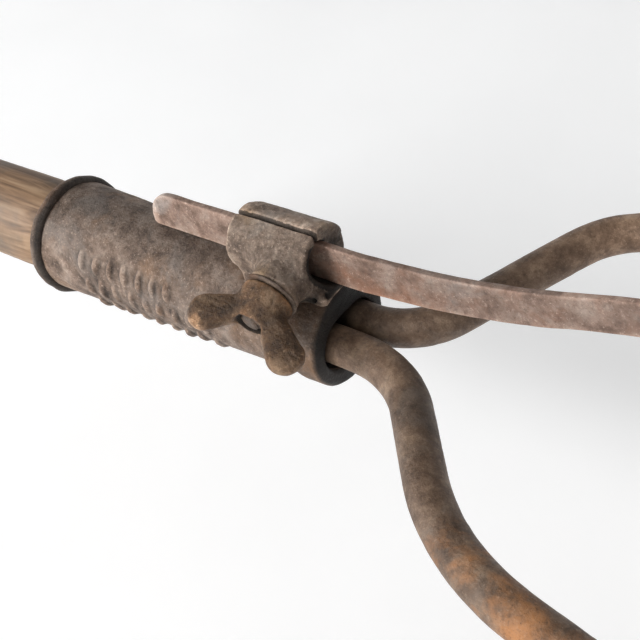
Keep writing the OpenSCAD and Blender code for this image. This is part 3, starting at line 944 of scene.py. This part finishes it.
# Painted shade: nearly black inside the clip, dark in the slit and on the front end faces. Painted light on
# the near side's waist. Darker along the seam crack and towards the bottom, lighter on the lip.
def clip_shade(p):
    x = p[:, 0] - FACE
    y, z = p[:, 1] - CLIP_Y, p[:, 2] - CLIP_Z
    rho = np.hypot(y, z)
    inside = (rho < 7.2) & (p[:, 2] < CLIP_Z + 5.8) & (p[:, 1] < BAR_Y + 1.5) & (p[:, 1] > -6.2)
    crack = np.clip(seam_line(p) / 0.9, 0.12, 1)
    ends = 1 - 0.5 * np.clip((x + 5.9) / 1.0, 0, 1) * (p[:, 2] > 15)
    slit = 1 - 0.75 * ((np.abs(p[:, 1] + 0.95) < 0.55) & (p[:, 2] > CLIP_Z + 3))
    lip = 1 + 0.28 * ((p[:, 1] > -0.4) & (z > 5))
    foot = 1 - 0.15 * np.clip((15 - p[:, 2]) / 4, 0, 1)
    waist = 1 + 0.32 * np.clip(1 - np.abs(p[:, 2] - 17) / 6, 0, 1) * (p[:, 1] < -4)
    return np.where(inside, 0.15, 1) * crack * ends * slit * lip * foot * waist


def build_clip():
    mesh = solid(clip_field, (FACE - 31, -15, 6.5), (FACE + 1.5, 10.5, 32), 0.31)
    finished("bar_clip", mesh, "socket_group", ("clip",), IRON_CLIP, clip_shade,
             hollows=0.35)


# ---------------------------------------------------------------- thumb screw

def wing_axes(s):
    """Distances along the line through both wings, and to either side of it."""
    t = math.radians(WING_TURN)
    u, v = s[:, 0], s[:, 1]
    return u * math.cos(t) + v * math.sin(t), np.abs(v * math.cos(t) - u * math.sin(t))


def wing_field(s):
    u, v, h = s[:, 0], s[:, 1], s[:, 2]
    rho = np.hypot(u, v)
    body = rho - np.interp(h, [0, 0.8, 2, 3.6, 5.2, 6.8, 8.2, 9.2], [6.7, 6.85, 6.8, 6.5, 6, 5.4, 4.8, 4.1])
    body = smooth_max(body * 0.95, np.maximum(-h - 0.05, h - 9.25), 1.2)
    along, across = wing_axes(s)
    flat = np.stack([np.where(along < 0, -1.1, 1.0) * along, h], axis=1)
    a, b = np.array((3.4, 5.2)), np.array((11.6, 11.4))
    k = np.clip((flat - a) @ (b - a) / ((b - a) @ (b - a)), 0, 1)
    radius = 3.2 + 1.6 * k
    out = np.linalg.norm(flat - a - k[:, None] * (b - a), axis=1)
    half = (3.1 - 0.2 * k) * np.sqrt(1 - 0.8 * np.minimum(out / radius, 1) ** 2)
    lobe = smooth_max(out - radius, 0.85 * (across - half), 1.2)
    d = smooth_min(body, lobe, 1.5)
    d = d - roughness(s + 40, 0.15, 0.20, 51)
    hole = np.hypot(u - 0.25, v + 0.1) - np.interp(h, [6.5, 8.0, 9.3], [3.3, 3.55, 3.95])
    return cut(d, hole, 0.5)


def wing_chip(s):
    """1 on the spot where one wing's tip is rubbed bare, 0 elsewhere."""
    spot = np.hypot(wing_axes(s)[0] + 11.2, s[:, 2] - 15.6) + 0.6 * noise(s, 1.4, 61)
    return np.clip((1.9 - spot) / 0.5, 0, 1)


# Painted shade: nearly black in the bore and darker at the base against the washer. A painted highlight on
# the hub between the wings. The chip is a spot rubbed bare.
def wing_shade(s):
    rho = np.hypot(s[:, 0], s[:, 1])
    bore = (rho < 4.0) & (s[:, 2] < 9.0)
    hub_highlight = np.clip((rho - 4.4) / 1.2, 0, 1) * np.clip((wing_axes(s)[1] - 3.0) / 1.2, 0, 1)
    hub_highlight *= np.clip(1 - np.abs(s[:, 2] - 4.8) / 4, 0, 1)
    value = np.where(bore, 0.2, 1) * (1 + 1.4 * wing_chip(s)) * (1 + 0.32 * hub_highlight)
    return value * (1 - 0.35 * np.clip((0.6 - s[:, 2]) / 0.6, 0, 1)) * (1 + 0.12 * noise(s, 3.0, 62))


def build_wing():
    seat = ON_SCREW @ move(0, 0, SEAT_H)
    points, faces = solid(wing_field, (-18, -11, -0.9), (18, 11, 17.6), 0.27)
    finished("wing_casting", (place(seat, points), faces), "thumb_screw", ("wing_head",),
             IRON_WING, lambda p: wing_shade(place(np.linalg.inv(seat), p)),
             lambda p: -0.5 * wing_chip(place(np.linalg.inv(seat), p)), hollows=1.0)


def build_washer():
    profile = [(3.45, 0.06), (6.9, 0.0), (7.3, 0.15), (7.42, 0.45), (7.3, 0.8), (6.9, 0.96), (3.45, 0.93)]
    points, faces = closed_ring(lathe(profile, 90, 0.12, 71))
    m = ON_SCREW @ move(0, 0, SEAT_H - 1)
    finished("seat_washer", (place(m, points), faces), "washer_ring", ("washer",),
             STEEL_SMALL, lambda p: np.full(len(p), 0.8))


def build_screw():
    """The 1/4 in screw: a rounded tip by the middle tine, 20 threads an inch, a chamfered outer end."""
    tip, top, pitch = 1.8, SEAT_H + 8.5, 1.27
    outer, depth = 3.16, 0.62
    around = 52
    angle = np.linspace(0, 2 * math.pi, around, endpoint=False)
    rings = []
    for h in np.arange(tip, top + 0.001, 0.115):
        phase = (h / pitch - angle / (2 * math.pi)) % 1
        r = outer - depth * np.abs(2 * phase - 1)
        rounding = math.sqrt(max(0.02, 1 - max(0, 1 - (h - tip) / 3.0) ** 2))
        r = r * rounding - 0.7 * max(0, 1 - (top - h) / 0.7)
        ring = np.stack([r * np.cos(angle), r * np.sin(angle), np.full(around, h)], axis=1)
        rings.append(ring + 0.05 * noise(ring, 0.9, 81)[:, None])
    points, faces = tube(rings)
    finished("threaded_screw", (place(ON_SCREW, points), faces), "thumb_screw",
             ("clamp_screw",), STEEL_SMALL, lambda p: 0.6 + 0.25 * noise(p, 1.2, 82))


# ---------------------------------------------------------------- stage, light and camera

def build_floor():
    """A pale studio sweep: a flat round sheet that curves up at its rim."""
    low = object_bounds()[0][2]
    flat_r, sweep_r, around = 1.4, 1.6, 72
    profile = [(r, 0.0) for r in (0.0005, 0.1, 0.3, 0.6, 1.0, flat_r)]
    profile += [(flat_r + sweep_r * math.sin(t), sweep_r - sweep_r * math.cos(t))
                for t in np.linspace(0.1, 1.5, 16)]
    angle = np.linspace(0, 2 * math.pi, around, endpoint=False)
    points, faces = [], []
    for r, z in profile:
        points += [(FACE / 1000 + r * math.cos(t), r * math.sin(t), low + z) for t in angle]
    for i in range(0, (len(profile) - 1) * around, around):
        for j in range(around):
            k = (j + 1) % around
            faces.append([i + j, i + k, i + around + k, i + around + j])
    faces.append(list(range(around - 1, -1, -1)))
    mesh = bpy.data.meshes.new("studio_sweep")
    mesh.from_pydata(points, [], faces)
    mesh.shade_smooth()
    mesh.materials.append(pale_floor())
    floor = bpy.data.objects.new("studio_sweep", mesh)
    bpy.context.scene.collection.objects.link(floor)


def softbox(name, at, aim, size, power):
    light = bpy.data.lights.new(name, "AREA")
    light.energy = power
    light.size = size
    obj = bpy.data.objects.new(name, light)
    bpy.context.scene.collection.objects.link(obj)
    obj.location = at
    obj.rotation_euler = (Vector(at) - aim).to_track_quat("Z", "Y").to_euler()


def build_light(aim):
    world = bpy.data.worlds.new("studio")
    bpy.context.scene.world = world
    world.use_nodes = True
    background = world.node_tree.nodes["Background"]
    background.inputs["Color"].default_value = (0.97, 0.985, 1, 1)
    background.inputs["Strength"].default_value = 0.25
    softbox("key", aim + 1.7 * Vector((-0.70, -0.90, 0.62)), aim, size=0.85, power=52.5)


CAMERA_AIM = Vector((FACE / 1000 - 0.0064, -0.0035, 0.0046))
CAMERA_TURN = (43.9, 39.7, -11.6)  # azimuth, elevation and roll
CAMERA_BACK = 0.2678
LENS = 60.28


def build_camera(aim):
    a, e, r = (math.radians(v) for v in CAMERA_TURN)
    back = Vector((math.sin(a) * math.cos(e), -math.cos(a) * math.cos(e), math.sin(e)))
    level = Vector((math.cos(a), math.sin(a), 0))
    up = back.cross(level)
    right = math.cos(r) * level + math.sin(r) * up
    above = math.cos(r) * up - math.sin(r) * level
    m = Matrix((right, above, back)).transposed().to_4x4()
    m.translation = aim + CAMERA_BACK * back
    cam = bpy.data.objects.new("camera", bpy.data.cameras.new("camera"))
    bpy.context.scene.collection.objects.link(cam)
    cam.matrix_world = m
    cam.data.lens = LENS
    cam.data.clip_start = 0.01
    bpy.context.scene.camera = cam


build_socket()
build_mouth_band()
build_handle()
build_nails()
build_wedge()
ends = build_tines()
build_outer_shovels(ends)
build_bar()
build_clip()
build_wing()
build_washer()
build_screw()
build_floor()
build_light(CAMERA_AIM)
build_camera(CAMERA_AIM)
bpy.context.scene.view_settings.view_transform = "Standard"
